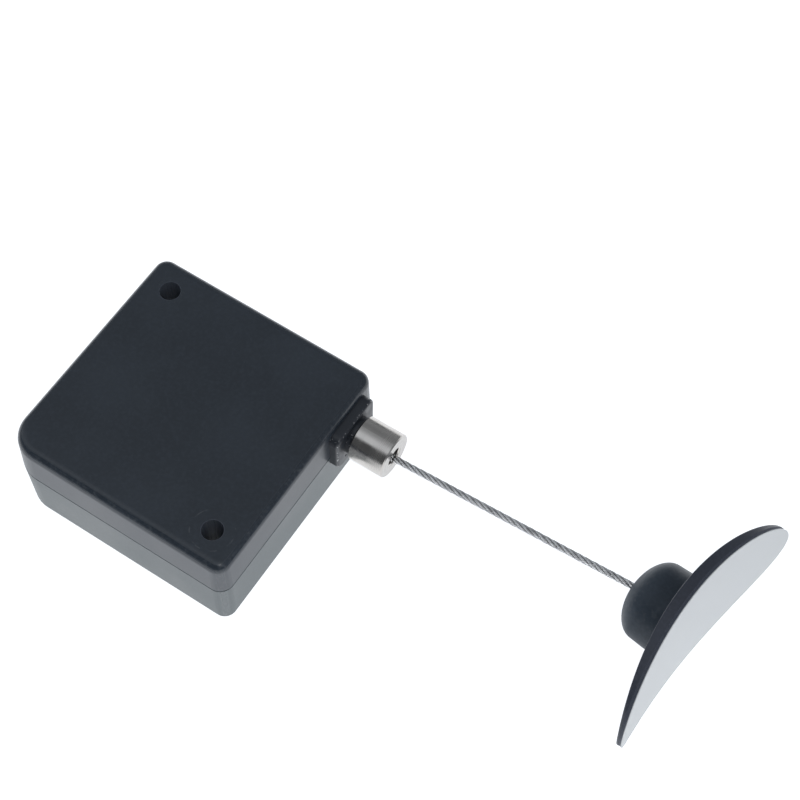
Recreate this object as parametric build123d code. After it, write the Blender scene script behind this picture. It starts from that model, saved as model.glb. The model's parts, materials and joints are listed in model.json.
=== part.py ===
from build123d import *
from math import atan, cos, degrees, pi, radians, sin, sqrt
import os

# A retractable security tether. A square box holds a spring-driven cable drum. The cable leaves
# through a metal nozzle in the box's side and ends in a dome on a curved adhesive pad.
# Millimetres. The origin is the centre of the box's back face, +X points the way the cable
# leaves, and +Z points from the back face to the front face.

# --- driving dimensions: the box ---
side = 42.0              # length of each side, at the parting line
height = 18.9
parting_z = 11.2         # height of the joint between the two shells
front_draft = 0.25       # how far the front face is inset from the parting line
back_draft = 0.35
corner_radius = 2.4
round_corner_radius = 5.5  # of the one corner towards -X and -Y
front_edge_radius = 1.65
back_edge_radius = 0.8
wall = 1.7
floor = 1.6
parting_chamfer = 0.13
lip_thickness = 0.8
lip_height = 1.0

# --- driving dimensions: mounting holes and shell screws ---
mount_offset = 15.45     # each mounting hole's distance from the box's centre, in X and in Y
mount_hole_radius = 1.75
mount_post_radius = 2.7
screw_places = [(-15.6, -15.6), (11.6, 17.2)]
screw_post_radius = 1.9
screw_radius = 1.1
screw_head_radius = 1.9
screw_head_height = 1.4
screw_recess_radius = 2.2
screw_recess_depth = 2.4
screw_tip_z = 14.5

# --- driving dimensions: cable and outlet ---
cable_radius = 0.6
outlet_y = 12.95
outlet_z = 12.7
plate_width = 10.4       # along Y
plate_tall = 8.8         # along Z
plate_corner = 1.6
plate_back_x = 20.75
plate_front_x = 22.55
neck_width = 7.2
neck_tall = 6.8
neck_corner = 0.6
inner_flange_width = 9.0
inner_flange_tall = 8.4
inner_flange_corner = 0.8
inner_flange_thickness = 1.2
collar_radius = 3.25
collar_end_x = 23.4
nozzle_end_x = 29.85
nozzle_radius = 3.9
nozzle_bore_radius = 1.5
nozzle_stem_radius = 2.6
mouth_drift = 0.3        # the pulled cable lies this far to one side of the nozzle's axis
pin_radius = 0.45
pin_aside = 3.0          # from the nozzle's axis, towards -Y
pin_below = 2.4
pin_dimple_radius = 0.25
pin_dimple_depth = 0.4

# --- driving dimensions: drum, from the back to the front ---
axle_radius = 2.5
running_gap = 0.05
thrust_gap = 0.1
boss_top_z = 2.6
washer_thickness = 0.4
washer_radius = 4.3
boss_radius = 4.5
cover_thickness = 1.0
cup_wall = 1.2
cup_radius = 14.6        # inside the spring's cup
cup_roof_z = 9.0
groove_low_z = 10.2
groove_high_z = 15.0
flange_radius = 16.6
flange_thickness = 1.1
bush_radius = 4.0
layers = 3
turns_per_layer = 4
hub_radius = 7.3         # that the upper flange sits round
hub_hollow_outer = 6.4
hub_hollow_inner = 5.2
flange_screw_circle = 8.6
flange_screw_radius = 0.55
flange_screw_head_radius = 1.15
flange_screw_head_height = 0.7
anchor_radius = 0.85
anchor_length = 1.8

# --- driving dimensions: power spring ---
spring_thickness = 0.3
spring_low_z = 4.4
spring_high_z = 8.6
spring_turns = 9
spring_inner_radius = 2.95
spring_outer_radius = 13.9

# --- driving dimensions: free cable and pad, as the tether lies on a table ---
free_length = 42.7       # from the nozzle's mouth to the dome's tip
cable_yaw = 2.4          # degrees, towards +Y
pad_yaw = -7.0
pad_lean = 3.9           # the pad's upper edge leans back towards the box
pad_half_length = 21.6
pad_half_width = 13.2
pad_front_radius = 78.0  # of the hollow adhesive face
pad_back_radius = 55.0   # of the plate's crowned back
liner_thickness = 0.12
tape_thickness = 0.5
pad_rim_radius = 0.25    # of the plate's rounded back edge
pad_thickness = 2.3      # plate, tape and liner, at the pad's centre
spigot_height = 1.2      # of the round boss that the dome is glued over
dome_base_radius = 6.9
dome_shoulder_radius = 6.7
dome_shoulder_height = 4.2
dome_height = 8.3
dome_wall = 1.3
ball_radius = 1.7

# --- worked-out dimensions ---
half = side / 2
inner_half = half - wall
roof_z = height - floor
mount_places = [(-mount_offset, mount_offset), (mount_offset, -mount_offset)]
washer_top_z = boss_top_z + washer_thickness
drum_low_z = washer_top_z + thrust_gap
drum_top_z = groove_high_z + flange_thickness
cable_diameter = 2 * cable_radius
core_radius = outlet_y + cable_radius - layers * cable_diameter
anchor_x = core_radius - 1.1
anchor_z = groove_low_z + 0.9
spigot_radius = dome_base_radius - dome_wall - 0.4
spigot_top = pad_thickness + spigot_height
mouth = Vector(nozzle_end_x, outlet_y - mouth_drift, outlet_z)
cable_way = Vector(cos(radians(cable_yaw)), sin(radians(cable_yaw)), 0)
dome_tip = mouth + cable_way * free_length
pad_normal = Vector(
    cos(radians(pad_lean)) * cos(radians(pad_yaw)),
    cos(radians(pad_lean)) * sin(radians(pad_yaw)),
    sin(radians(pad_lean)),
)
pad_long_way = Vector(-sin(radians(pad_yaw)), cos(radians(pad_yaw)), 0)
pad_centre = dome_tip + pad_normal * (dome_height + pad_thickness)
pad_frame = Plane(origin=pad_centre, x_dir=pad_long_way, z_dir=pad_normal)

ON_BASE = (Align.CENTER, Align.CENTER, Align.MIN)


def disc(radius, low, high, place=(0, 0)):
    """A round column about a vertical axis at place."""
    return Pos(place[0], place[1], low) * Cylinder(radius, high - low, align=ON_BASE)


def ring(outer, inner, low, high, place=(0, 0)):
    """A round tube about a vertical axis at place."""
    return disc(outer, low, high, place) - disc(inner, low, high, place)


def box_outline(inset):
    """The box's outline, drawn in by inset. One corner is rounder than the other three."""
    def far_out(corner):
        return corner.X + corner.Y
    square = Rectangle(side - 2 * inset, side - 2 * inset)
    corners = sorted(square.vertices(), key=far_out)
    outline = fillet(corners[1:], corner_radius - inset)
    return fillet(min(outline.vertices(), key=far_out), round_corner_radius - inset)


def box_block(inset, low, high):
    """A column with the box's outline, drawn in by inset, between two heights."""
    return Pos(0, 0, low) * extrude(box_outline(inset), high - low)


def rod(start, way, radius, length):
    """A round rod from start, along way."""
    return Plane(origin=start, z_dir=way) * Cylinder(radius, length, align=ON_BASE)


def outlet_block(wide, tall, low_x, high_x, radius):
    """A block with rounded corners on the outlet's axis, between two places along X."""
    outline = RectangleRounded(wide, tall, radius)
    across = Plane(origin=(low_x, outlet_y, outlet_z), x_dir=(0, 1, 0), z_dir=(1, 0, 0))
    return extrude(across * outline, high_x - low_x)


def outlet_rod(radius, low_x, high_x):
    """A round rod on the outlet's axis."""
    return rod((low_x, outlet_y, outlet_z), (1, 0, 0), radius, high_x - low_x)


# --- the box ---
def shell_blank(way, tall, inset, edge_radius):
    """A drafted half of the box, solid, that grows from the parting line up (1) or down (-1)."""
    outline = Pos(0, 0, parting_z) * box_outline(0)
    blank = extrude(outline, tall, dir=(0, 0, way), taper=degrees(atan(inset / tall)))
    lowest, highest = 0, -1
    end, joint = (highest, lowest) if way > 0 else (lowest, highest)
    blank = fillet(blank.faces().sort_by(Axis.Z)[end].edges(), edge_radius)
    return chamfer(blank.faces().sort_by(Axis.Z)[joint].edges(), parting_chamfer)


def outlet_neck():
    """The part of the outlet block that passes through the wall."""
    return outlet_block(neck_width, neck_tall, inner_half - 0.1, plate_back_x + 0.1, neck_corner)


def outlet_inner_flange():
    """The part of the outlet block that lies against the wall's inside."""
    low_x = inner_half - inner_flange_thickness
    return outlet_block(
        inner_flange_width, inner_flange_tall, low_x, inner_half, inner_flange_corner
    )


def outlet_seat():
    """The room that the outlet plate takes in the shells' wall."""
    plate = outlet_block(plate_width, plate_tall, plate_back_x, half + 1, plate_corner)
    return outlet_neck() + plate + outlet_inner_flange()


def lip(gap):
    """The upper shell's locating lip, which the lower shell's rebate holds with a gap."""
    low = parting_z - lip_height - gap
    outer = box_block(wall - lip_thickness - gap, low, parting_z)
    return outer - box_block(wall, low, parting_z)


def corner_ribs(place, low, high):
    """Two thin ribs that tie a corner post to the walls on each side of it."""
    x, y = place
    reach = inner_half + 0.5 - abs(x)
    towards_x = Pos(x + (reach / 2 if x > 0 else -reach / 2), y, low)
    towards_y = Pos(x, y + (reach / 2 if y > 0 else -reach / 2), low)
    tall = high - low
    return towards_x * Box(reach, 1.0, tall, align=ON_BASE) + towards_y * Box(
        1.0, reach, tall, align=ON_BASE
    )


def upper_shell():
    """The front half: roof, walls, posts and the upper axle boss."""
    body = shell_blank(1, height - parting_z, front_draft, front_edge_radius)
    body -= box_block(wall, parting_z, roof_z)
    body += lip(0)
    for place in mount_places:
        body += disc(mount_post_radius, parting_z, roof_z, place)
        body += corner_ribs(place, parting_z, roof_z)
        body -= disc(mount_hole_radius, parting_z - 1, height + 1, place)
    body += corner_ribs(screw_places[0], parting_z, roof_z)
    for place in screw_places:
        body += disc(screw_post_radius, parting_z, roof_z, place)
        body -= disc(screw_radius, parting_z - 1, screw_tip_z + 0.5, place)
    body += ring(boss_radius, axle_radius, drum_top_z + thrust_gap + washer_thickness, roof_z)
    body -= disc(axle_radius, roof_z, roof_z + 0.4)
    return body - outlet_seat()


def lower_shell():
    """The back half: floor, walls, posts with screw recesses, and the lower axle boss."""
    body = shell_blank(-1, parting_z, back_draft, back_edge_radius)
    body -= box_block(wall, floor, parting_z)
    body -= lip(0.05)
    for place in mount_places:
        body += disc(mount_post_radius, floor, parting_z, place)
        body += corner_ribs(place, floor, parting_z - 2)
        body -= disc(mount_hole_radius, -1, parting_z + 1, place)
    body += corner_ribs(screw_places[0], floor, parting_z - 2)
    for place in screw_places:
        body += disc(screw_post_radius, floor, parting_z, place)
        body += disc(screw_recess_radius + 0.9, floor, screw_recess_depth + 1, place)
        body -= disc(screw_recess_radius, -1, screw_recess_depth, place)
        body -= disc(screw_radius + 0.15, 0, parting_z + 1, place)
    body += disc(boss_radius, floor, boss_top_z)
    body -= disc(axle_radius, 0.8, boss_top_z + 1)
    return body - outlet_seat()


def housing_screws():
    """Two pan-head self-tapping screws with cross recesses, put in from the back."""
    head_low = screw_recess_depth - screw_head_height
    screws = []
    for place in screw_places:
        head = disc(screw_head_radius, head_low, screw_recess_depth, place)
        head = fillet(head.edges().sort_by(Axis.Z)[0], 0.6)
        screw = head + disc(screw_radius, screw_recess_depth, screw_tip_z, place)
        for size in ((2.2, 0.45), (0.45, 2.2)):
            slot = Box(size[0], size[1], 0.7, align=ON_BASE)
            screw -= Pos(place[0], place[1], head_low) * slot
        screws.append(screw)
    return screws


# --- the outlet ---
def outlet_plate():
    """A flange outside the wall, a neck through it, a flange inside it, and a round collar."""
    flange = outlet_block(plate_width, plate_tall, plate_back_x, plate_front_x, plate_corner)
    flange = fillet(flange.faces().sort_by(Axis.X)[-1].edges(), 0.5)
    collar = outlet_rod(collar_radius, plate_front_x - 0.1, collar_end_x)
    collar = fillet(collar.edges().sort_by(Axis.X)[-1], 0.25)
    body = flange + outlet_neck() + outlet_inner_flange() + collar
    body -= outlet_rod(nozzle_stem_radius, inner_half - 2, collar_end_x + 1)
    return body - pin_blank()


def pin_blank():
    """The room that the pin takes in the outlet plate, below and beside the nozzle."""
    start = (plate_back_x, outlet_y - pin_aside, outlet_z - pin_below)
    return rod(start, (1, 0, 0), pin_radius, plate_front_x - plate_back_x)


def outlet_pin():
    """A small pin through the flange, with a dimple in its outer end."""
    dimple = (plate_front_x, outlet_y - pin_aside, outlet_z - pin_below)
    return pin_blank() - rod(dimple, (-1, 0, 0), pin_dimple_radius, pin_dimple_depth)


def nozzle():
    """A turned sleeve: a stem in the outlet plate and a wide round head with a bored mouth."""
    head = outlet_rod(nozzle_radius, collar_end_x, nozzle_end_x)
    head = chamfer(head.edges().sort_by(Axis.X)[-1], 0.2)
    head = chamfer(head.edges().sort_by(Axis.X)[0], 0.2)
    body = head + outlet_rod(
        nozzle_stem_radius, inner_half - inner_flange_thickness, collar_end_x
    )
    body -= outlet_rod(nozzle_bore_radius, inner_half - 2, nozzle_end_x + 1)
    end_edges = body.edges().filter_by(GeomType.CIRCLE).group_by(Axis.X)[-1]
    mouth_edge = end_edges.sort_by(SortBy.RADIUS)[0]
    return fillet(mouth_edge, 0.35)


# --- the drum and what it carries ---
def axle():
    """The fixed post, with a slot across it for the spring's inner end."""
    top = roof_z + 0.4
    body = chamfer(disc(axle_radius, 0.8, top).edges().sort_by(Axis.Z)[-1], 0.3)
    slot = Pos(0, 0, spring_low_z - 0.2) * Box(
        2 * axle_radius + 1, 0.5, spring_high_z - spring_low_z + 0.4, align=ON_BASE
    )
    return body - Pos(axle_radius, 0, 0) * slot


def lower_washer():
    """The thrust washer between the lower boss and the drum."""
    return ring(washer_radius, axle_radius + running_gap, boss_top_z, washer_top_z)


def upper_washer():
    """The thrust washer between the drum and the upper boss."""
    low = drum_top_z + thrust_gap
    return ring(washer_radius, axle_radius + running_gap, low, low + washer_thickness)


def flange_screw_places():
    """Three places evenly spaced round the drum's core."""
    turns = [2 * pi * i / 3 for i in range(3)]
    return [(flange_screw_circle * cos(turn), flange_screw_circle * sin(turn)) for turn in turns]


def drum():
    """The reel: a spring cup in the underside, the lower flange, and the winding core."""
    cup = ring(cup_radius + cup_wall, cup_radius, drum_low_z, cup_roof_z)
    web = ring(flange_radius, bush_radius, cup_roof_z, groove_low_z)
    core = ring(core_radius, bush_radius, groove_low_z, groove_high_z)
    hub = ring(hub_radius, bush_radius, groove_high_z, drum_top_z)
    body = cup + web + core + hub
    body -= ring(hub_hollow_outer, hub_hollow_inner, groove_low_z + 1.0, drum_top_z)
    for i in range(3):
        rib_place = Pos((hub_hollow_inner + hub_hollow_outer) / 2, 0, groove_low_z + 0.9)
        rib = rib_place * Box(hub_hollow_outer - hub_hollow_inner + 0.4, 1.2, 4.0, align=ON_BASE)
        body += Rot(0, 0, 60 + 120 * i) * rib
    for place in flange_screw_places():
        body -= disc(flange_screw_radius, groove_high_z - 3.5, groove_high_z, place)
    return body - anchor_column(anchor_radius + 0.05, anchor_length + 0.2)


def anchor_column(radius, tall):
    """A short upright column near the core's rim, where the cable's inner end is held."""
    return Rot(0, 0, 60) * Pos(anchor_x, 0, anchor_z) * Cylinder(radius, tall)


def cable_anchor():
    """The crimped stop on the cable's inner end."""
    return anchor_column(anchor_radius, anchor_length)


def drum_bush():
    """The bearing bush pressed into the drum."""
    return ring(bush_radius, axle_radius + running_gap, cup_roof_z, drum_top_z)


def drum_flange():
    """The upper flange, a separate disc so that the reel can be moulded."""
    body = ring(flange_radius, hub_radius, groove_high_z, drum_top_z)
    for place in flange_screw_places():
        body -= disc(flange_screw_radius + 0.1, groove_high_z, drum_top_z, place)
    return body


def flange_screws():
    """Three small screws through the upper flange into the core."""
    screws = []
    for place in flange_screw_places():
        head_top = drum_top_z + flange_screw_head_height
        head = disc(flange_screw_head_radius, drum_top_z, head_top, place)
        head = fillet(head.edges().sort_by(Axis.Z)[-1], 0.3)
        screws.append(head + disc(flange_screw_radius, groove_high_z - 3.0, drum_top_z, place))
    return screws


def spring_cover():
    """The disc pressed into the cup's mouth."""
    return ring(cup_radius, axle_radius + 0.7, drum_low_z, drum_low_z + cover_thickness)


def power_spring():
    """A flat strip wound in a spiral, with its inner tang in the axle's slot."""
    def edge(shift):
        points = []
        steps = 12 * spring_turns
        for i in range(steps + 1):
            turn = 2 * pi * spring_turns * i / steps
            reach = spring_outer_radius - spring_inner_radius
            radius = spring_inner_radius + shift + reach * i / steps
            points.append((radius * cos(turn), radius * sin(turn)))
        return points
    inner = Spline(*edge(0))
    outer = Spline(*edge(spring_thickness))
    ends = [Line(inner @ 0, outer @ 0), Line(inner @ 1, outer @ 1)]
    strip = make_face(Wire([inner, outer] + ends))
    tall = spring_high_z - spring_low_z
    coil = Pos(0, 0, spring_low_z) * extrude(strip, tall)
    tang_length = spring_inner_radius - axle_radius + 1.5
    tang = Pos(spring_inner_radius - tang_length / 2 + 0.1, 0, spring_low_z)
    return coil + tang * Box(tang_length, spring_thickness, tall, align=ON_BASE)


def cable_winding():
    """The wound turns as one ring: a filled middle with every outside turn showing."""
    low = (groove_low_z + groove_high_z) / 2 - turns_per_layer * cable_radius
    first_r = core_radius + cable_radius
    last_r = first_r + (layers - 1) * cable_diameter
    heights = [low + cable_radius + i * cable_diameter for i in range(turns_per_layer)]
    middle = Pos((first_r + last_r) / 2, (heights[0] + heights[-1]) / 2)
    section = middle * Rectangle(last_r - first_r, heights[-1] - heights[0])
    for i in range(layers):
        for z in heights:
            section += Pos(first_r + i * cable_diameter, z) * Circle(cable_radius)
    # The innermost turns lie flat against the core.
    section += Pos(core_radius + cable_radius / 2, middle.position.Y) * Rectangle(
        cable_radius, heights[-1] - heights[0]
    )
    return revolve(Plane.XZ * section, Axis.Z)


# --- the cable ---
def cable_lead():
    """The run inside the box, from where it leaves the winding to just inside the mouth."""
    leave_x = 6.4
    turn_z = (groove_low_z + groove_high_z) / 2 - cable_radius
    start = Vector(leave_x, outlet_y, turn_z)
    end = mouth - Vector(0.1, 0, 0)
    return rod(start, end - start, cable_radius, (end - start).length)


def ball_centre():
    """The crimped ball's centre, on the cable's line inside the dome."""
    return dome_tip + cable_way * (dome_wall + 0.9 + ball_radius)


def cable():
    """The free stretch, straight, from the nozzle's mouth into the ball inside the dome."""
    return rod(mouth, cable_way, cable_radius, (ball_centre() - mouth).length)


def end_ferrule():
    """A ball with a short crimp sleeve towards the nozzle."""
    ball = Pos(*ball_centre()) * Sphere(ball_radius)
    sleeve_start = ball_centre() - cable_way * (ball_radius + 0.3)
    body = ball + rod(sleeve_start, cable_way, 1.05, ball_radius)
    return body - rod(mouth, cable_way, cable_radius, (ball_centre() - mouth).length)


def ferrule_washer():
    """A flat washer between the ball's sleeve and the dome's wall."""
    start = ball_centre() - cable_way * (ball_radius + 0.8)
    return rod(start, cable_way, 1.6, 0.4) - rod(start, cable_way, cable_radius + 0.05, 0.4)


# --- the pad ---
def bent_slab(front_depth, front_radius, back_depth, back_radius):
    """A slab bent along the pad's length, between two arcs. Depths are measured from the pad's
    adhesive face, at its centre, towards the dome. The outline is the pad's oval."""
    reach = pad_half_length + 1

    def arc(depth, radius):
        rise = radius - sqrt(radius**2 - reach**2)
        return ThreePointArc((-reach, rise - depth), (0, -depth), (reach, rise - depth))

    front = arc(front_depth, front_radius)
    back = arc(back_depth, back_radius)
    ends = [Line(front @ 0, back @ 0), Line(front @ 1, back @ 1)]
    section = make_face(Wire([front, back] + ends))
    slab = extrude(Plane.XZ * section, 2 * pad_half_width, both=True)
    oval = Pos(0, 0, -20) * extrude(Ellipse(pad_half_length, pad_half_width), 40)
    return slab & oval


def release_liner():
    depth = liner_thickness
    return pad_frame * bent_slab(0, pad_front_radius, depth, pad_front_radius + depth)


def foam_tape():
    start = liner_thickness
    end = start + tape_thickness
    return pad_frame * bent_slab(start, pad_front_radius + start, end, pad_front_radius + end)


def pad_plate():
    """The stiff plate, thickest at its centre, with the spigot that the dome is glued round."""
    start = liner_thickness + tape_thickness
    plate = bent_slab(start, pad_front_radius + start, pad_thickness, pad_back_radius)
    back_face = plate.faces().sort_by(Axis.Z)[0]
    plate = fillet(back_face.edges(), pad_rim_radius)
    spigot = disc(spigot_radius, -spigot_top, -start - 0.3)
    return pad_frame * (plate + spigot)


def dome_cap():
    """The dome: a slightly tapering wall, then a rounded cap, hollow where the ball turns."""
    base_depth = pad_thickness - 0.6
    cap_tall = dome_height - dome_shoulder_height
    outline = [
        Line((0, -base_depth), (dome_base_radius, -base_depth)),
        Line(
            (dome_base_radius, -base_depth),
            (dome_shoulder_radius, -pad_thickness - dome_shoulder_height),
        ),
        EllipticalCenterArc(
            (0, -pad_thickness - dome_shoulder_height),
            dome_shoulder_radius,
            cap_tall,
            start_angle=270,
            arc_size=90,
        ),
        Line((0, -pad_thickness - dome_height), (0, -base_depth)),
    ]
    solid = revolve(Plane.XZ * make_face(Wire(outline)), Axis.Z)
    back_surface = bent_slab(-20, 200, pad_thickness, pad_back_radius)
    solid -= back_surface
    solid -= disc(spigot_radius, -spigot_top, 5)
    solid = pad_frame * solid
    room_start = ball_centre() - cable_way * (ball_radius + 0.9)
    solid -= rod(room_start, cable_way, ball_radius + 0.3, 2 * ball_radius + 1.4)
    solid -= rod(dome_tip - cable_way * 2, cable_way, cable_radius + 0.08, 6)
    return solid


makers = {
    "upper_shell": upper_shell,
    "lower_shell": lower_shell,
    "housing_screws": housing_screws,
    "outlet_plate": outlet_plate,
    "outlet_pin": outlet_pin,
    "nozzle": nozzle,
    "axle": axle,
    "lower_washer": lower_washer,
    "upper_washer": upper_washer,
    "drum": drum,
    "drum_bush": drum_bush,
    "drum_flange": drum_flange,
    "flange_screws": flange_screws,
    "spring_cover": spring_cover,
    "power_spring": power_spring,
    "cable_winding": cable_winding,
    "cable_anchor": cable_anchor,
    "cable_lead": cable_lead,
    "cable": cable,
    "end_ferrule": end_ferrule,
    "ferrule_washer": ferrule_washer,
    "dome_cap": dome_cap,
    "pad_plate": pad_plate,
    "foam_tape": foam_tape,
    "release_liner": release_liner,
}

os.makedirs("parts", exist_ok=True)
for name, make in makers.items():
    made = make()
    if isinstance(made, list):
        made = Compound(children=made)
    export_step(made, f"parts/{name}.step")
    print(f"{name:18} {made.volume:9.1f} mm3")
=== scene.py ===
import json
from math import cos, pi, radians, sin, sqrt

import bpy
from mathutils import Matrix, Vector


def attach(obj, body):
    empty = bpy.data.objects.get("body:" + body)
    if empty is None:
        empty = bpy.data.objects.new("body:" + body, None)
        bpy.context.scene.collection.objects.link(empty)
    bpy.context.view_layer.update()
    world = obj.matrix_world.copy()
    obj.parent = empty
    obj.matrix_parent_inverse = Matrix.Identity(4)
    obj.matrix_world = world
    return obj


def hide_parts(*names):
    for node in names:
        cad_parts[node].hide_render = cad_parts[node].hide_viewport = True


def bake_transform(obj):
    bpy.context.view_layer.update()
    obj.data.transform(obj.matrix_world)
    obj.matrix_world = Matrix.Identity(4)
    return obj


# The looks of a retractable security tether. Metres, in the same frame as the CAD: the origin is
# the centre of the box's back face, +X is the way the cable leaves, and +Z is up.
MM = 0.001
ORIGIN = Vector((0.0, 0.0, 0.0))       # also on the drum's axis, which is upright

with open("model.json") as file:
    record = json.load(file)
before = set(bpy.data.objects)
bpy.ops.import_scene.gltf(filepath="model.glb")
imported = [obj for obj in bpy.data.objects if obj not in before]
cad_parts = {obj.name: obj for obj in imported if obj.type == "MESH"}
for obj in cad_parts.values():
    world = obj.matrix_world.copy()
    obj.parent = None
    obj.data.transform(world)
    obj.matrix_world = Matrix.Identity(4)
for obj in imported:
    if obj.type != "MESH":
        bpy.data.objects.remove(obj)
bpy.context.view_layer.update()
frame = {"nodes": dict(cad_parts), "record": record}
nodes = frame["nodes"]
mounts = {mount["name"]: mount for mount in frame["record"]["mounts"]}


# --- camera ---
CAMERA_TARGET = Vector((26.65, 19.27, 18.57)) * MM
CAMERA_DISTANCE = 285.0 * MM
CAMERA_HEADING = 121.215    # degrees from +X towards +Y, the way the camera looks
CAMERA_DROP = 60.644        # degrees below the horizon
CAMERA_ROLL = 2.096
CAMERA_LENS = 81.39         # millimetres, on a sensor 36 mm wide


def add_camera():
    """A camera at the photograph's viewing angle."""
    heading, drop, roll = (radians(a) for a in (CAMERA_HEADING, CAMERA_DROP, CAMERA_ROLL))
    forward = Vector((cos(drop) * cos(heading), cos(drop) * sin(heading), -sin(drop)))
    level = forward.cross(Vector((0, 0, 1))).normalized()
    right = level * cos(roll) + level.cross(forward) * sin(roll)
    up = right.cross(forward)
    data = bpy.data.cameras.new("camera")
    data.lens = CAMERA_LENS
    data.sensor_width = 36.0
    data.clip_start = 0.01
    data.clip_end = 10.0
    camera = bpy.data.objects.new("camera", data)
    turn = Matrix((right, up, -forward)).transposed()
    camera.matrix_world = Matrix.Translation(
        CAMERA_TARGET - forward * CAMERA_DISTANCE
    ) @ turn.to_4x4()
    bpy.context.scene.collection.objects.link(camera)
    bpy.context.scene.camera = camera


add_camera()


# --- small helpers ---
def new_object(name, vertices, faces, smooth=True):
    """A mesh object from plain lists, linked to the scene."""
    mesh = bpy.data.meshes.new(name)
    mesh.from_pydata([tuple(v) for v in vertices], [], faces)
    mesh.polygons.foreach_set("use_smooth", [smooth] * len(faces))
    mesh.update()
    made = bpy.data.objects.new(name, mesh)
    bpy.context.scene.collection.objects.link(made)
    return made


def smooth_line(points, step):
    """Points about one step apart along the smooth NURBS line that has these control points."""
    curve = bpy.data.curves.new("route", "CURVE")
    curve.dimensions = "3D"
    spline = curve.splines.new("NURBS")
    spline.points.add(len(points) - 1)
    for point, place in zip(spline.points, points):
        point.co = (*place, 1.0)
    spline.order_u = 3
    spline.use_endpoint_u = True
    runs = sum((b - a).length for a, b in zip(points, points[1:]))
    spline.resolution_u = round(runs / step / (len(points) - 1))
    holder = bpy.data.objects.new("route", curve)
    bpy.context.scene.collection.objects.link(holder)
    bpy.context.view_layer.update()
    mesh = bpy.data.meshes.new_from_object(holder)
    line = [vertex.co.copy() for vertex in mesh.vertices]
    bpy.data.objects.remove(holder)
    bpy.data.meshes.remove(mesh)
    return line


# --- the wire rope ---
ROPE_RADIUS = 0.6 * MM
STRAND_COUNT = 6
WIRES_IN_STRAND = 6
STRAND_RADIUS = ROPE_RADIUS / 3
WIRE_RADIUS = STRAND_RADIUS / 3
ROPE_LAY = 8.4 * MM                    # one full turn of a strand round the rope
STRAND_LAY = -3.4 * MM                 # a wire turns the other way in its strand
ROPE_STEP = 0.2 * MM
CORE_SIDES = 10
WIRE_SIDES = 6
CABLE_YAW = radians(2.4)
CABLE_WAY = Vector((cos(CABLE_YAW), sin(CABLE_YAW), 0.0))
LEAD_START = Vector((6.4, 12.95, 12.0)) * MM
MOUTH = Vector((29.85, 12.65, 12.7)) * MM
FREE_LENGTH = 42.7 * MM
HELD_LENGTH = 3.9 * MM                 # inside the dome, up to the ball's centre
DOME_TIP = MOUTH + CABLE_WAY * FREE_LENGTH


def cross_axes(line, i):
    """Two directions square to the line at its point number i, and the line's own direction."""
    way = (line[min(i + 1, len(line) - 1)] - line[max(i - 1, 0)]).normalized()
    across = way.cross(Vector((0, 0, 1))).normalized()
    return across, across.cross(way), way


def wire_tube(centres, radius, sides, vertices, faces):
    """Adds a tube along the centres to the lists of vertices and faces."""
    base = len(vertices)
    last = len(centres) - 1
    for i, centre in enumerate(centres):
        across, over, _ = cross_axes(centres, i)
        for k in range(sides):
            turn = 2 * pi * k / sides
            vertices.append(centre + (across * cos(turn) + over * sin(turn)) * radius)
    for i in range(last):
        for k in range(sides):
            a, b = base + i * sides + k, base + i * sides + (k + 1) % sides
            faces.append((a, b, b + sides, a + sides))
    faces.append(tuple(base + k for k in reversed(range(sides))))
    faces.append(tuple(base + last * sides + k for k in range(sides)))


def wire_centres(line, reach, strand, wire):
    """The middle line of one wire of one strand twisted round the line."""
    centres = []
    for i, (place, along) in enumerate(zip(line, reach)):
        across, over, way = cross_axes(line, i)
        turn = 2 * pi * (along / ROPE_LAY + strand / STRAND_COUNT)
        outward = across * cos(turn) - over * sin(turn)
        sideways = way.cross(outward)
        twist = 2 * pi * (along / STRAND_LAY + wire / WIRES_IN_STRAND)
        middle = place + outward * (ROPE_RADIUS - STRAND_RADIUS)
        offset = outward * cos(twist) + sideways * sin(twist)
        centres.append(middle + offset * (STRAND_RADIUS - WIRE_RADIUS))
    return centres


def rope(name, line, start_reach):
    """Strands of wires twisted round the line. start_reach is how far along the whole cable the
    line starts, so that the twist carries on from one piece to the next."""
    reach = [start_reach]
    for before, after in zip(line, line[1:]):
        reach.append(reach[-1] + (after - before).length)
    vertices, faces = [], []
    wire_tube(line, STRAND_RADIUS, CORE_SIDES, vertices, faces)
    for strand in range(STRAND_COUNT):
        for wire in range(WIRES_IN_STRAND):
            centres = wire_centres(line, reach, strand, wire)
            wire_tube(centres, WIRE_RADIUS, WIRE_SIDES, vertices, faces)
    return new_object(name, vertices, faces)


def add_rope():
    """The free cable, and its lead through the nozzle, with one unbroken twist."""
    lead_line = smooth_line([LEAD_START, LEAD_START.lerp(MOUTH, 0.5), MOUTH], ROPE_STEP)
    lead = rope("rope_lead", lead_line, 0.0)
    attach(lead, "housing")
    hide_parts("cable_lead")
    middle = MOUTH.lerp(DOME_TIP, 0.5)
    ball = DOME_TIP + CABLE_WAY * HELD_LENGTH
    free_line = smooth_line([MOUTH, middle, DOME_TIP, ball], ROPE_STEP)
    free = rope("rope_free", free_line, (MOUTH - LEAD_START).length)
    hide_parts("cable")
    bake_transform(free)
    return [lead, free]


rope_pieces = add_rope()


# --- the foam tape on the pad ---
PAD_HALF_LENGTH = 21.6 * MM
PAD_HALF_WIDTH = 13.2 * MM
PAD_HOLLOW = 78.0 * MM                 # radius of the adhesive face
LINER_THICKNESS = 0.12 * MM
TAPE_THICKNESS = 0.5 * MM
FOAM_SQUEEZE = 0.05 * MM               # how far the cut edge draws in between its faces
FOAM_RINGS = 18
FOAM_SPOKES = 180
FOAM_EDGE_STEPS = 6
FOAM_CREASE = radians(35)              # edges that fold more than this stay sharp


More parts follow.
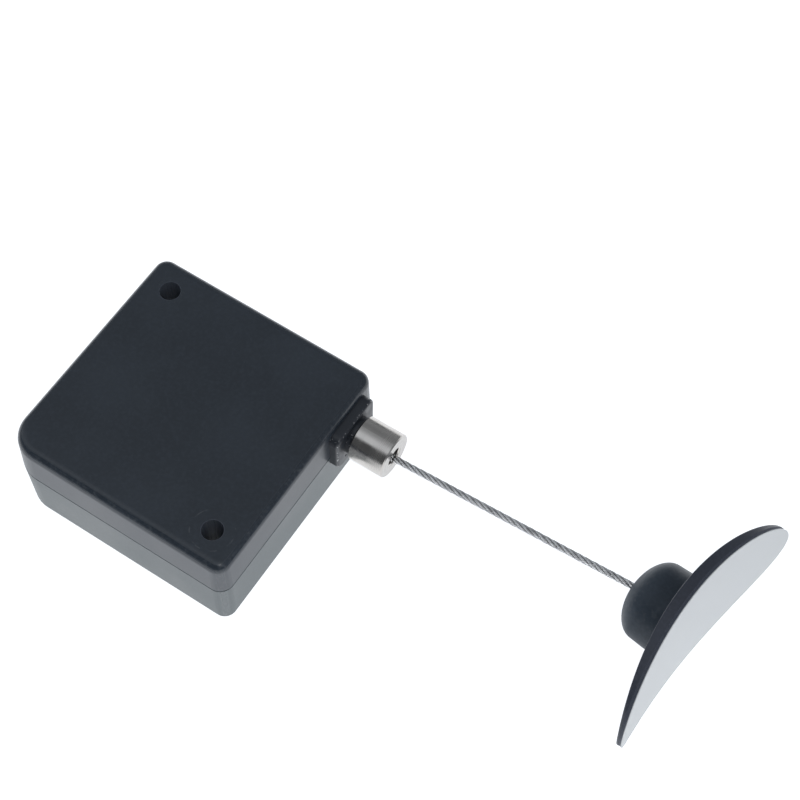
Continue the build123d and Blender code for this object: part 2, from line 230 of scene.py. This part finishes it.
def pad_axes():
    """The pad's centre, its long way, its short way and the way that its face points."""
    face = mounts["pad_face"]
    centre = Vector(face["pos_m"])
    normal = Vector(face["axis"]).normalized()
    long_way = Vector((-normal.y, normal.x, 0.0)).normalized()
    return centre, long_way, normal.cross(long_way), normal


def add_foam():
    """A bent oval of foam: front face, cut edge and back face as one closed mesh."""
    centre, long_way, short_way, normal = pad_axes()

    def point(share, turn, depth):
        along = PAD_HALF_LENGTH * share * cos(turn)
        aside = PAD_HALF_WIDTH * share * sin(turn)
        radius = PAD_HOLLOW + depth
        sink = radius - sqrt(radius * radius - along * along)
        inward = depth - sink
        return centre + long_way * along + short_way * aside - normal * inward

    rings = [(i / FOAM_RINGS, LINER_THICKNESS) for i in range(1, FOAM_RINGS + 1)]
    for i in range(1, FOAM_EDGE_STEPS):
        share = i / FOAM_EDGE_STEPS
        squeeze = FOAM_SQUEEZE * sin(pi * share) / PAD_HALF_WIDTH
        rings.append((1 - squeeze, LINER_THICKNESS + TAPE_THICKNESS * share))
    back = LINER_THICKNESS + TAPE_THICKNESS
    rings += [(i / FOAM_RINGS, back) for i in range(FOAM_RINGS, 0, -1)]
    vertices = [point(0.0, 0.0, LINER_THICKNESS)]
    for share, depth in rings:
        for k in range(FOAM_SPOKES):
            vertices.append(point(share, 2 * pi * k / FOAM_SPOKES, depth))
    vertices.append(point(0.0, 0.0, back))
    faces = []
    for k in range(FOAM_SPOKES):
        after = (k + 1) % FOAM_SPOKES
        faces.append((0, 1 + k, 1 + after))
        for r in range(len(rings) - 1):
            a, b = 1 + r * FOAM_SPOKES + k, 1 + r * FOAM_SPOKES + after
            faces.append((a, a + FOAM_SPOKES, b + FOAM_SPOKES, b))
        end = 1 + (len(rings) - 1) * FOAM_SPOKES
        faces.append((len(vertices) - 1, end + after, end + k))
    foam = new_object("foam_layer", vertices, faces)
    foam.data.set_sharp_from_angle(angle=FOAM_CREASE)
    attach(foam, "pad_head")
    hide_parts("foam_tape")
    return foam


foam_layer = add_foam()


# --- materials ---
PLASTIC_IOR = 1.5
EDGE_STARTS = 0.96                     # largest part of the normal where a rounded edge starts
EDGE_FULL = 0.80                       # and where it counts in full


def scaled(colour, share):
    """The colour made darker or lighter."""
    return tuple(share * c for c in colour)


def lifted(colour, extra):
    """The colour with the same amount of grey added to each part."""
    return tuple(c + extra for c in colour)


class Paint:
    """A material with a Principled shader, and short ways to add nodes to it."""

    def __init__(self, name, colour, roughness, metallic=0.0):
        self.material = bpy.data.materials.new(name)
        self.material.use_nodes = True
        self.tree = self.material.node_tree
        self.shader = self.tree.nodes["Principled BSDF"]
        self.shader.inputs["Base Color"].default_value = (*colour, 1.0)
        self.shader.inputs["Roughness"].default_value = roughness
        self.shader.inputs["Metallic"].default_value = metallic
        self.shader.inputs["IOR"].default_value = PLASTIC_IOR
        coordinates = self.tree.nodes.new("ShaderNodeTexCoord")
        self.place = coordinates.outputs["Object"]
        self.facing = coordinates.outputs["Normal"]
        self.tone = None       # the colour so far, for the next layer to be laid on
        self.relief = None     # the bumps so far

    def put(self, value, socket):
        """Links value to the socket, or sets it there if it is a plain number or colour."""
        if isinstance(value, bpy.types.NodeSocket):
            self.tree.links.new(value, socket)
        else:
            socket.default_value = value

    def maths(self, operation, first, second=0.0):
        node = self.tree.nodes.new("ShaderNodeMath")
        node.operation = operation
        self.put(first, node.inputs[0])
        self.put(second, node.inputs[1])
        return node.outputs[0]

    def between(self, value, low, high, at_low=0.0, at_high=1.0):
        """A value that goes smoothly from at_low to at_high as value goes from low to high."""
        node = self.tree.nodes.new("ShaderNodeMapRange")
        node.interpolation_type = "SMOOTHSTEP"
        self.put(value, node.inputs["Value"])
        for socket, number in zip(node.inputs[1:5], (low, high, at_low, at_high)):
            socket.default_value = number
        return node.outputs["Result"]

    def vector_maths(self, operation, first, second=(0.0, 0.0, 0.0)):
        node = self.tree.nodes.new("ShaderNodeVectorMath")
        node.operation = operation
        self.put(first, node.inputs[0])
        self.put(second, node.inputs[1])
        return node.outputs["Value"] if operation == "LENGTH" else node.outputs["Vector"]

    def noise(self, size, detail=2.0, place=None, stretch=(1.0, 1.0, 1.0)):
        """Noise with features about size metres across, from 0 to 1."""
        mapping = self.tree.nodes.new("ShaderNodeMapping")
        self.put(self.place if place is None else place, mapping.inputs["Vector"])
        mapping.inputs["Scale"].default_value = [s / size for s in stretch]
        node = self.tree.nodes.new("ShaderNodeTexNoise")
        node.inputs["Scale"].default_value = 1.0
        node.inputs["Detail"].default_value = detail
        self.put(mapping.outputs["Vector"], node.inputs["Vector"])
        return node.outputs["Fac"]

    def parts_of(self, vector):
        """The three parts of a vector, as sockets."""
        node = self.tree.nodes.new("ShaderNodeSeparateXYZ")
        self.put(vector, node.inputs[0])
        return node.outputs

    def vector(self, x, y, z):
        node = self.tree.nodes.new("ShaderNodeCombineXYZ")
        for value, socket in zip((x, y, z), node.inputs):
            self.put(value, socket)
        return node.outputs[0]

    def reach(self, centre, axis):
        """The distance from the line through centre along axis number 0, 1 or 2."""
        shift = self.vector_maths("SUBTRACT", self.place, centre)
        square = [0.0 if i == axis else 1.0 for i in range(3)]
        return self.vector_maths("LENGTH", self.vector_maths("MULTIPLY", shift, square))

    def reach_from_slant(self, point, way):
        """The distance from the line through point in the direction way, which has length 1."""
        shift = self.vector_maths("SUBTRACT", self.place, point)
        return self.vector_maths("LENGTH", self.vector_maths("CROSS_PRODUCT", shift, way))

    def blend(self, share, first, second):
        """A mix of two colours."""
        node = self.tree.nodes.new("ShaderNodeMix")
        node.data_type = "RGBA"
        self.put(share, node.inputs["Factor"])
        for value, socket in zip((first, second), (node.inputs[6], node.inputs[7])):
            self.put((*value, 1.0) if isinstance(value, tuple) else value, socket)
        return node.outputs[2]

    def bump(self, height, depth, before=None):
        """Raises the surface by depth metres where height is 1."""
        node = self.tree.nodes.new("ShaderNodeBump")
        node.inputs["Strength"].default_value = 1.0
        node.inputs["Distance"].default_value = depth
        self.put(height, node.inputs["Height"])
        if before is not None:
            self.put(before, node.inputs["Normal"])
        return node.outputs["Normal"]

    def edge_share(self):
        """How much a face turns away from all three axes: 0 on the flats, 1 on rounded edges."""
        sizes = [self.maths("ABSOLUTE", part) for part in self.parts_of(self.facing)]
        most = self.maths("MAXIMUM", self.maths("MAXIMUM", sizes[0], sizes[1]), sizes[2])
        return self.between(most, EDGE_STARTS, EDGE_FULL)

    def set_colour(self, value):
        self.put(value, self.shader.inputs["Base Color"])

    def set_roughness(self, value):
        self.put(value, self.shader.inputs["Roughness"])

    def set_normal(self, value):
        self.put(value, self.shader.inputs["Normal"])


EDGE_POLISH = 0.12                     # how much less rough handled edges are
EDGE_WEAR = 0.03                       # how much paler they are
CLOUD_SIZE = 14.0 * MM
FLECK_SIZE = 0.55 * MM
WEAR_SIZE = 0.7 * MM
SINK_SIZE = 9.0 * MM                   # of the slow waves that moulding leaves
SINK_TO_GRAIN = 4                      # how many times deeper they are than the grain
SCRATCH_STRETCH = (0.15, 1.0, 1.0)     # scratches are long in X
SCRATCH_DEPTH = 0.002 * MM
HAZE_SIZE = 2.5 * MM                   # of the cloudy sheen on metal


def moulded_plastic(name, colour, roughness, grain=0.16 * MM, depth=0.003 * MM):
    """Moulded plastic: fine spark-eroded grain, a faint cloudy sheen, paler polished edges."""
    paint = Paint(name, colour, roughness)
    clouds = paint.noise(CLOUD_SIZE, 3.0)
    flecks = paint.noise(FLECK_SIZE, 3.0)
    cloudy = paint.blend(
        paint.between(clouds, 0.3, 0.7), scaled(colour, 0.9), scaled(colour, 1.1)
    )
    speckle = paint.between(flecks, 0.35, 0.85, 0.0, 0.35)
    paint.tone = paint.blend(speckle, cloudy, scaled(colour, 1.7))
    patches = paint.between(paint.noise(WEAR_SIZE, 4.0), 0.45, 0.75)
    edge = paint.edge_share()
    worn = paint.maths("MULTIPLY", edge, patches)
    paint.tone = paint.blend(worn, paint.tone, lifted(colour, EDGE_WEAR))
    paint.set_colour(paint.tone)
    dull = paint.between(clouds, 0.3, 0.7, roughness - 0.03, roughness + 0.04)
    paint.set_roughness(paint.maths("SUBTRACT", dull, paint.maths("MULTIPLY", edge, EDGE_POLISH)))
    sink = paint.bump(paint.noise(SINK_SIZE, 1.0), SINK_TO_GRAIN * depth)
    paint.relief = paint.bump(paint.noise(grain), depth, sink)
    paint.set_normal(paint.relief)
    return paint


def bare_metal(name, colour, roughness, scratch=0.25 * MM):
    """Plated or ground metal: fine scratches one way, cloudy sheen, duller spots."""
    paint = Paint(name, colour, roughness, metallic=1.0)
    clouds = paint.noise(HAZE_SIZE, 3.0)
    paint.set_colour(paint.blend(clouds, scaled(colour, 0.86), colour))
    paint.set_roughness(paint.between(clouds, 0.3, 0.7, roughness - 0.04, roughness + 0.06))
    scratches = paint.noise(scratch, 3.0, stretch=SCRATCH_STRETCH)
    paint.relief = paint.bump(scratches, SCRATCH_DEPTH)
    paint.set_normal(paint.relief)
    return paint


# --- the box's plastic ---
UPPER_COLOUR = (0.034, 0.044, 0.058)
LOWER_COLOUR = (0.064, 0.084, 0.092)
NEAR_HOLE = Vector((15.45, -15.45, 0.0)) * MM
FAR_HOLE = Vector((-15.45, 15.45, 0.0)) * MM
HOLE_RADIUS = 1.75 * MM
HOLE_PAINTED_LIGHT = (0.15, 0.17, 0.21)         # painted light: the hole walls are painted paler than the face, because the photo's holes aren't black
RUBBED_RING = 3.5 * MM                 # left round the near hole by a screw's washer
RUBBED_WIDTH = 0.16 * MM
RUBBED_GAPS = 1.6 * MM                 # how far apart the ring fades out
RUBBED_DEPTH = 0.006 * MM
SPECK_SIZE = 0.35 * MM                 # of the pale specks round the far hole
SPECKS_FROM = 2.6 * MM
SPECKS_FULL = 1.9 * MM


def shell_paint(name, colour, roughness):
    """Moulded plastic with a rubbed ring, painted light on the hole walls and specks round the far
    hole.
    """
    paint = moulded_plastic(name, colour, roughness)
    from_near = paint.reach(NEAR_HOLE, 2)
    from_far = paint.reach(FAR_HOLE, 2)
    from_ring = paint.maths("SUBTRACT", from_near, RUBBED_RING)
    ring = paint.between(paint.maths("ABSOLUTE", from_ring), RUBBED_WIDTH, 0.0)
    broken = paint.between(paint.noise(RUBBED_GAPS, 2.0), 0.5, 0.62)
    mark = paint.maths("MULTIPLY", ring, broken)
    paint.tone = paint.blend(mark, paint.tone, lifted(colour, 0.05))
    # painted light: the walls of both holes are painted paler than the face
    nearest = paint.maths("MINIMUM", from_far, from_near)
    inside = paint.between(nearest, HOLE_RADIUS + 0.1 * MM, HOLE_RADIUS - 0.05 * MM)
    paint.tone = paint.blend(inside, paint.tone, HOLE_PAINTED_LIGHT)
    near_hole = paint.between(from_far, SPECKS_FROM, SPECKS_FULL)
    specks = paint.between(paint.noise(SPECK_SIZE, 1.0), 0.66, 0.72)
    spot = paint.maths("MULTIPLY", near_hole, specks)
    paint.tone = paint.blend(spot, paint.tone, lifted(colour, 0.06))
    paint.set_colour(paint.tone)
    paint.relief = paint.bump(mark, RUBBED_DEPTH, paint.relief)
    paint.set_normal(paint.relief)
    return paint


# --- the nozzle's turned and plated metal ---
NOZZLE_AXIS = Vector((0.0, 12.95, 12.7)) * MM
TOOL_RING = 0.05 * MM                  # between the fine rings that the lathe's tool leaves
TOOL_RING_DEPTH = 0.0012 * MM
BAND_SIZE = 0.9 * MM                   # of the duller and brighter bands
END_SHADE = 0.73                       # how dark the painted shade on the faced end is, as a share of the rest


def turned_metal(name, colour, roughness):
    """Metal turned on a lathe about the nozzle's axis: fine rings, bands and painted shade on the end.
    """
    paint = bare_metal(name, colour, roughness)
    radius = paint.reach(NOZZLE_AXIS, 0)
    along = paint.parts_of(paint.place)[0]
    lathe = paint.vector(along, radius, 0.0)
    rings = paint.noise(TOOL_RING, 2.0, place=lathe)
    bands = paint.noise(BAND_SIZE, 2.0, place=lathe)
    # painted shade: the end face, which points along +X, is painted darker than the side
    shaded_end = paint.between(paint.parts_of(paint.facing)[0], 0.6, 0.95)
    paint.set_colour(paint.blend(shaded_end, colour, scaled(colour, END_SHADE)))
    paint.set_roughness(paint.between(bands, 0.3, 0.7, roughness - 0.05, roughness + 0.07))
    paint.relief = paint.bump(rings, TOOL_RING_DEPTH, paint.relief)
    paint.set_normal(paint.relief)
    return paint


# --- black enamel on the outlet plate ---
ENAMEL_CLOUDS = 1.5 * MM
ENAMEL_GRAIN = 0.12 * MM
ENAMEL_DEPTH = 0.003 * MM
CHIP_SIZE = 0.30 * MM                  # of the specks where the enamel has worn through
WORN_METAL = (0.45, 0.45, 0.46)


def enamel_paint(name, colour, roughness):
    """Black paint on metal, worn through in specks along its edges."""
    paint = Paint(name, colour, roughness)
    clouds = paint.noise(ENAMEL_CLOUDS, 3.0)
    tone = paint.blend(clouds, scaled(colour, 0.75), scaled(colour, 1.3))
    specks = paint.between(paint.noise(CHIP_SIZE, 1.0), 0.60, 0.72)
    bare = paint.maths("MULTIPLY", paint.edge_share(), specks)
    paint.set_colour(paint.blend(bare, tone, WORN_METAL))
    paint.put(bare, paint.shader.inputs["Metallic"])
    paint.set_roughness(paint.between(clouds, 0.3, 0.7, roughness - 0.05, roughness + 0.05))
    paint.set_normal(paint.bump(paint.noise(ENAMEL_GRAIN), ENAMEL_DEPTH))
    return paint


# --- the steel rope ---
ROPE_BRIGHT = (0.95, 0.95, 0.96)
ROPE_GROOVE_SHADE = (0.09, 0.09, 0.10)
GROOVE_SHADE_TO = 0.62 * ROPE_RADIUS         # painted shade in the grooves reaches as far out as this
CROWN_FROM = 0.88 * ROPE_RADIUS        # and the wires are unshaded beyond this
HANDLING_SIZE = 1.4 * MM               # of the duller patches left by handling


def rope_paint(name):
    """Bare galvanised wires, with painted shade in the grooves between the strands."""
    paint = bare_metal(name, ROPE_BRIGHT, 0.18, scratch=0.06 * MM)
    crown = paint.between(paint.reach_from_slant(MOUTH, CABLE_WAY), GROOVE_SHADE_TO, CROWN_FROM)
    grime = paint.between(paint.noise(HANDLING_SIZE, 3.0), 0.45, 0.75)
    handled = paint.blend(grime, ROPE_BRIGHT, scaled(ROPE_BRIGHT, 0.75))
    # painted shade: the wires are painted dark towards the rope's axis, in the grooves between the
    # strands
    paint.set_colour(paint.blend(crown, ROPE_GROOVE_SHADE, handled))
    return paint


# --- foam and liner ---
FOAM_CELL = (0.026, 0.031, 0.045)
FOAM_WALL = (0.075, 0.085, 0.115)      # between the cells
FOAM_CELL_SIZE = 0.12 * MM
FOAM_CELL_DEPTH = 0.02 * MM
LINER_DARK = (0.63, 0.655, 0.675)
LINER_PALE = (0.70, 0.715, 0.72)
FIBRE_SIZE = 0.5 * MM
FIBRE_STRETCH = (1.0, 0.3, 1.0)        # the paper's fibres are long in Y
FIBRE_DEPTH = 0.004 * MM
WAVE_SIZE = 5.0 * MM
WAVE_DEPTH = 0.03 * MM


def foam_paint(name):
    """Closed-cell foam: small round cells, paler between them."""
    paint = Paint(name, (0.030, 0.034, 0.044), 0.70)
    cells = paint.tree.nodes.new("ShaderNodeTexVoronoi")
    cells.inputs["Scale"].default_value = 1 / FOAM_CELL_SIZE
    paint.put(paint.place, cells.inputs["Vector"])
    walls = paint.between(cells.outputs["Distance"], 0.0, 0.55)
    paint.set_colour(paint.blend(walls, FOAM_CELL, FOAM_WALL))
    paint.set_roughness(paint.between(walls, 0.0, 1.0, 0.80, 0.62))
    paint.set_normal(paint.bump(walls, FOAM_CELL_DEPTH))
    return paint


def liner_paint(name):
    """Silicone-coated release paper: faint fibres, soft sheen, a slight wave."""
    paint = Paint(name, (0.68, 0.70, 0.715), 0.45)
    fibres = paint.noise(FIBRE_SIZE, 4.0, stretch=FIBRE_STRETCH)
    paint.set_colour(paint.blend(fibres, LINER_DARK, LINER_PALE))
    paint.set_roughness(paint.between(fibres, 0.3, 0.7, 0.40, 0.52))
    wave = paint.bump(paint.noise(WAVE_SIZE, 1.0), WAVE_DEPTH)
    paint.set_normal(paint.bump(fibres, FIBRE_DEPTH, wave))
    return paint


# --- the inner pieces ---
SPIRAL_PITCH = 0.5 * MM                # of the coiled spring strip
SPIRAL_DEPTH = 0.02 * MM
TEMPER_SIZE = 3.0 * MM                 # of the blue and straw patches left by tempering
TEMPER_BLUE = (0.24, 0.27, 0.34)
TEMPER_STRAW = (0.40, 0.38, 0.34)
WOUND_PITCH = 1.2 * MM                 # of the turns of rope on the drum
WOUND_DEPTH = 0.25 * MM
SLANT_SIZE = 0.4 * MM
SLANT_DEPTH = 0.04 * MM
SLANT_STRETCH = (0.35, 0.35, 1.0)      # the strands lie nearly level
WOUND_DARK = (0.30, 0.30, 0.31)
WOUND_BRIGHT = (0.58, 0.58, 0.60)


def strip_paint(name):
    """Blued spring strip: thin lines where one turn lies on the next."""
    paint = bare_metal(name, (0.32, 0.34, 0.38), 0.35)
    around = paint.reach(ORIGIN, 2)
    turns = paint.maths("SINE", paint.maths("MULTIPLY", around, 2 * pi / SPIRAL_PITCH))
    paint.set_normal(paint.bump(turns, SPIRAL_DEPTH, paint.relief))
    blue = paint.noise(TEMPER_SIZE, 2.0)
    paint.set_colour(paint.blend(blue, TEMPER_BLUE, TEMPER_STRAW))
    return paint


def wound_paint(name):
    """Turns of rope lying side by side on the drum, with the strands' slant in each turn."""
    paint = bare_metal(name, (0.50, 0.50, 0.52), 0.36)
    height = paint.parts_of(paint.place)[2]
    turns = paint.maths("SINE", paint.maths("MULTIPLY", height, 2 * pi / WOUND_PITCH))
    slant = paint.noise(SLANT_SIZE, 2.0, stretch=SLANT_STRETCH)
    ridges = paint.bump(turns, WOUND_DEPTH, paint.relief)
    paint.set_normal(paint.bump(slant, SLANT_DEPTH, ridges))
    paint.set_colour(paint.blend(slant, WOUND_DARK, WOUND_BRIGHT))
    return paint


def paint_nodes():
    """Gives every CAD node and every added piece its material."""
    upper = shell_paint("upper_plastic", UPPER_COLOUR, 0.33)
    lower = shell_paint("lower_plastic", LOWER_COLOUR, 0.36)
    nickel = turned_metal("turned_nickel", (0.57, 0.545, 0.52), 0.22)
    enamel = enamel_paint("black_enamel", (0.026, 0.031, 0.040), 0.40)
    ground = bare_metal("ground_steel", (0.55, 0.55, 0.56), 0.25)
    zinc = bare_metal("zinc_plate", (0.58, 0.58, 0.60), 0.34, scratch=0.18 * MM)
    crimped = bare_metal("crimped_zinc", (0.60, 0.60, 0.62), 0.40, scratch=0.3 * MM)
    nylon = moulded_plastic("natural_nylon", (0.70, 0.67, 0.60), 0.48)
    acetal = moulded_plastic("natural_acetal", (0.74, 0.72, 0.68), 0.36)
    drum_grey = moulded_plastic("drum_plastic_grey", (0.045, 0.048, 0.052), 0.40)
    dome = moulded_plastic("dome_satin", (0.048, 0.062, 0.081), 0.52, grain=0.12 * MM)
    dome.shader.inputs["Specular IOR Level"].default_value = 0.22
    pad = moulded_plastic(
        "pad_grain", (0.043, 0.050, 0.071), 0.50, grain=0.22 * MM, depth=0.012 * MM
    )
    rope_wires = rope_paint("rope_wires")
    by_node = {
        "upper_shell": upper,
        "lower_shell": lower,
        "housing_screws": zinc,
        "outlet_plate": enamel,
        "outlet_pin": enamel,
        "nozzle": nickel,
        "axle": ground,
        "lower_washer": nylon,
        "upper_washer": nylon,
        "drum": drum_grey,
        "drum_bush": acetal,
        "drum_flange": drum_grey,
        "flange_screws": zinc,
        "spring_cover": drum_grey,
        "power_spring": strip_paint("blued_strip"),
        "cable_winding": wound_paint("wound_rope"),
        "cable_anchor": crimped,
        "cable_lead": rope_wires,
        "cable": rope_wires,
        "end_ferrule": crimped,
        "ferrule_washer": zinc,
        "dome_cap": dome,
        "pad_plate": pad,
        "foam_tape": foam_paint("foam_cells"),
        "release_liner": liner_paint("release_paper"),
    }
    for name, paint in by_node.items():
        mesh = nodes[name].data
        mesh.materials.clear()
        mesh.materials.append(paint.material)
    for piece in rope_pieces:
        piece.data.materials.append(rope_wires.material)
    foam_layer.data.materials.append(by_node["foam_tape"].material)


paint_nodes()


# --- floor, sky and lights ---
FLOOR_HALF = 20.0
FLOOR_DROP = 0.03 * MM                 # keeps the floor clear of the box's back face
FLOOR_GLOW = (0.90, 0.92, 0.95)
FLOOR_FADE = (130 * MM, 480 * MM, 0.35)    # where the glow starts to fade, where it stops, what is left
SKY_TONES = [                          # degrees from overhead towards +Y, and the brightness there
    (-90, 0.10),
    (-38, 0.08),
    (-28, 0.80),
    (-8, 0.76),
    (5, 0.50),
    (16, 0.36),
    (27, 0.27),
    (42, 0.21),
    (66, 0.28),
    (90, 0.18),
]
SKY_TINT = (0.95, 1.0, 1.06)


def add_floor():
    """A pale floor that glows softly, a little less far away."""
    corners = [(-1, -1), (1, -1), (1, 1), (-1, 1)]
    vertices = [(x * FLOOR_HALF, y * FLOOR_HALF, -FLOOR_DROP) for x, y in corners]
    floor = new_object("floor", vertices, [(0, 1, 2, 3)], smooth=False)
    paint = Paint("pale_floor", (0.80, 0.80, 0.80), 0.9)
    near, far, share = FLOOR_FADE
    away = paint.between(paint.reach(ORIGIN, 2), near, far)
    glow = paint.blend(away, FLOOR_GLOW, scaled(FLOOR_GLOW, share))
    paint.put(glow, paint.shader.inputs["Emission Color"])
    paint.shader.inputs["Emission Strength"].default_value = 1.0
    paint.shader.inputs["Specular IOR Level"].default_value = 0.0
    floor.data.materials.append(paint.material)


def add_sky():
    """A soft light from a long bright patch overhead, the same all along X."""
    world = bpy.data.worlds.new("sky")
    world.use_nodes = True
    bpy.context.scene.world = world
    tree = world.node_tree
    split = tree.nodes.new("ShaderNodeSeparateXYZ")
    tree.links.new(tree.nodes.new("ShaderNodeTexCoord").outputs["Generated"], split.inputs[0])
    angle = tree.nodes.new("ShaderNodeMath")
    angle.operation = "ARCTAN2"
    tree.links.new(split.outputs[1], angle.inputs[0])
    tree.links.new(split.outputs[2], angle.inputs[1])
    share = tree.nodes.new("ShaderNodeMapRange")
    tree.links.new(angle.outputs[0], share.inputs["Value"])
    for socket, number in zip(share.inputs[1:5], (-pi / 2, pi / 2, 0.0, 1.0)):
        socket.default_value = number
    ramp = tree.nodes.new("ShaderNodeValToRGB")
    tree.links.new(share.outputs["Result"], ramp.inputs[0])
    stops = ramp.color_ramp.elements
    while len(stops) > 1:
        stops.remove(stops[-1])
    for i, (turn, tone) in enumerate(SKY_TONES):
        place = (turn + 90) / 180
        stop = stops[0] if i == 0 else stops.new(place)
        stop.position = place
        stop.color = (*(tone * t for t in SKY_TINT), 1.0)
    tree.links.new(ramp.outputs["Color"], tree.nodes["Background"].inputs["Color"])


def add_light(name, way, distance, size, strength):
    """A square soft light in the direction way from the box, facing it. strength is how bright
    it looks."""
    direction = Vector(way).normalized()
    data = bpy.data.lights.new(name, "AREA")
    data.shape = "SQUARE"
    data.size = size
    data.energy = strength * pi * size * size
    lamp = bpy.data.objects.new(name, data)
    lamp.location = direction * distance
    lamp.rotation_euler = direction.to_track_quat("Z", "Y").to_euler()
    bpy.context.scene.collection.objects.link(lamp)


add_floor()
add_sky()
add_light("corner_light", (0.46, -0.29, 0.85), 1.5, 0.12, 26.0)
bpy.context.scene.view_settings.view_transform = "Standard"
bpy.context.scene.view_settings.look = "None"
